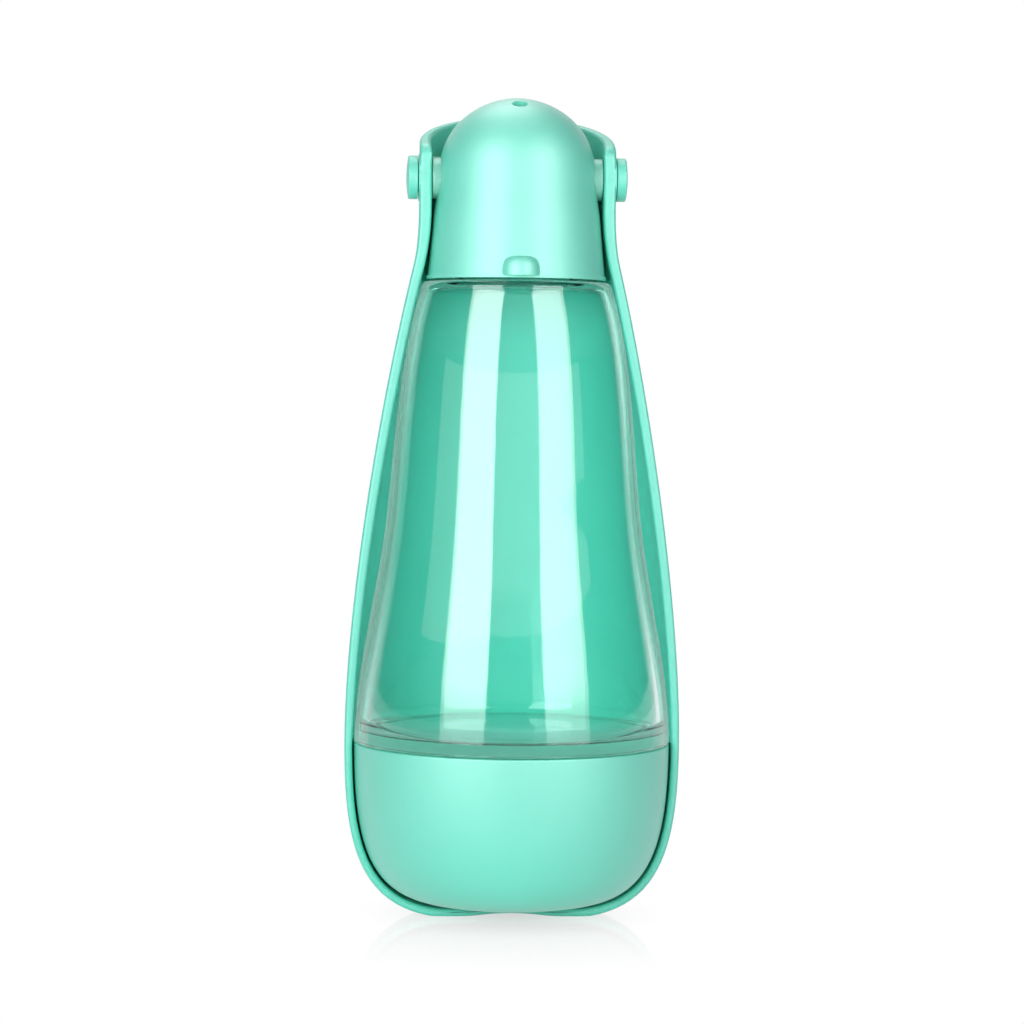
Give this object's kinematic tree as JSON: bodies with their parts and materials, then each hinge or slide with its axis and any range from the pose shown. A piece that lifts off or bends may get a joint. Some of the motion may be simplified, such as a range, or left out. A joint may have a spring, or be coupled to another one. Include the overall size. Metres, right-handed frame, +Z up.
{
  "type": "dog travel water bottle",
  "caption": "Squat pear-shaped water bottle with a clear tank, a mint screw cup and dome cap, and a hinged drinking tray that swings from behind it up over the cap.",
  "frame": {"origin": "where the axis of the bottle meets the surface that the tray's foot stands on", "axes": "+Z up along the axis of the bottle, +X to the right along the hinge of the tray, +Y to the back where the closed tray hangs, so the rest lug of the cap is at the front, towards -Y"},
  "size_m": [0.0944, 0.0918, 0.2303],
  "materials": {
    "mint_plastic": "satin moulded",
    "clear_plastic": "clear polished",
    "silicone": "matt silicone"
  },
  "bodies": {
    "bottle": {"tank": "clear_plastic", "base_seal": "silicone"},
    "base": {"base_cup": "mint_plastic"},
    "cap": {"cap_shell": "mint_plastic", "cap_liner": "mint_plastic", "neck_seal": "silicone", "outlet_valve": "silicone", "hinge_pin_left": "mint_plastic", "hinge_pin_right": "mint_plastic", "hinge_bush_left": "clear_plastic", "hinge_bush_right": "clear_plastic"},
    "tray": {"tray": "mint_plastic"}
  },
  "joints": [
    {"name": "cap_turn", "type": "hinge", "parent": "bottle", "child": "cap", "pos_m": [0, 0, 0.18], "axis": [0, 0, 1], "range_deg": [0, 360]},
    {"name": "tray_swing", "type": "hinge", "parent": "cap", "child": "tray", "pos_m": [0, 0, 0.2078], "axis": [1, 0, 0], "range_deg": [0, 180]},
    {"name": "base_turn", "type": "hinge", "parent": "bottle", "child": "base", "pos_m": [0, 0, 0.04], "axis": [0, 0, -1], "range_deg": [0, 360]}
  ]
}
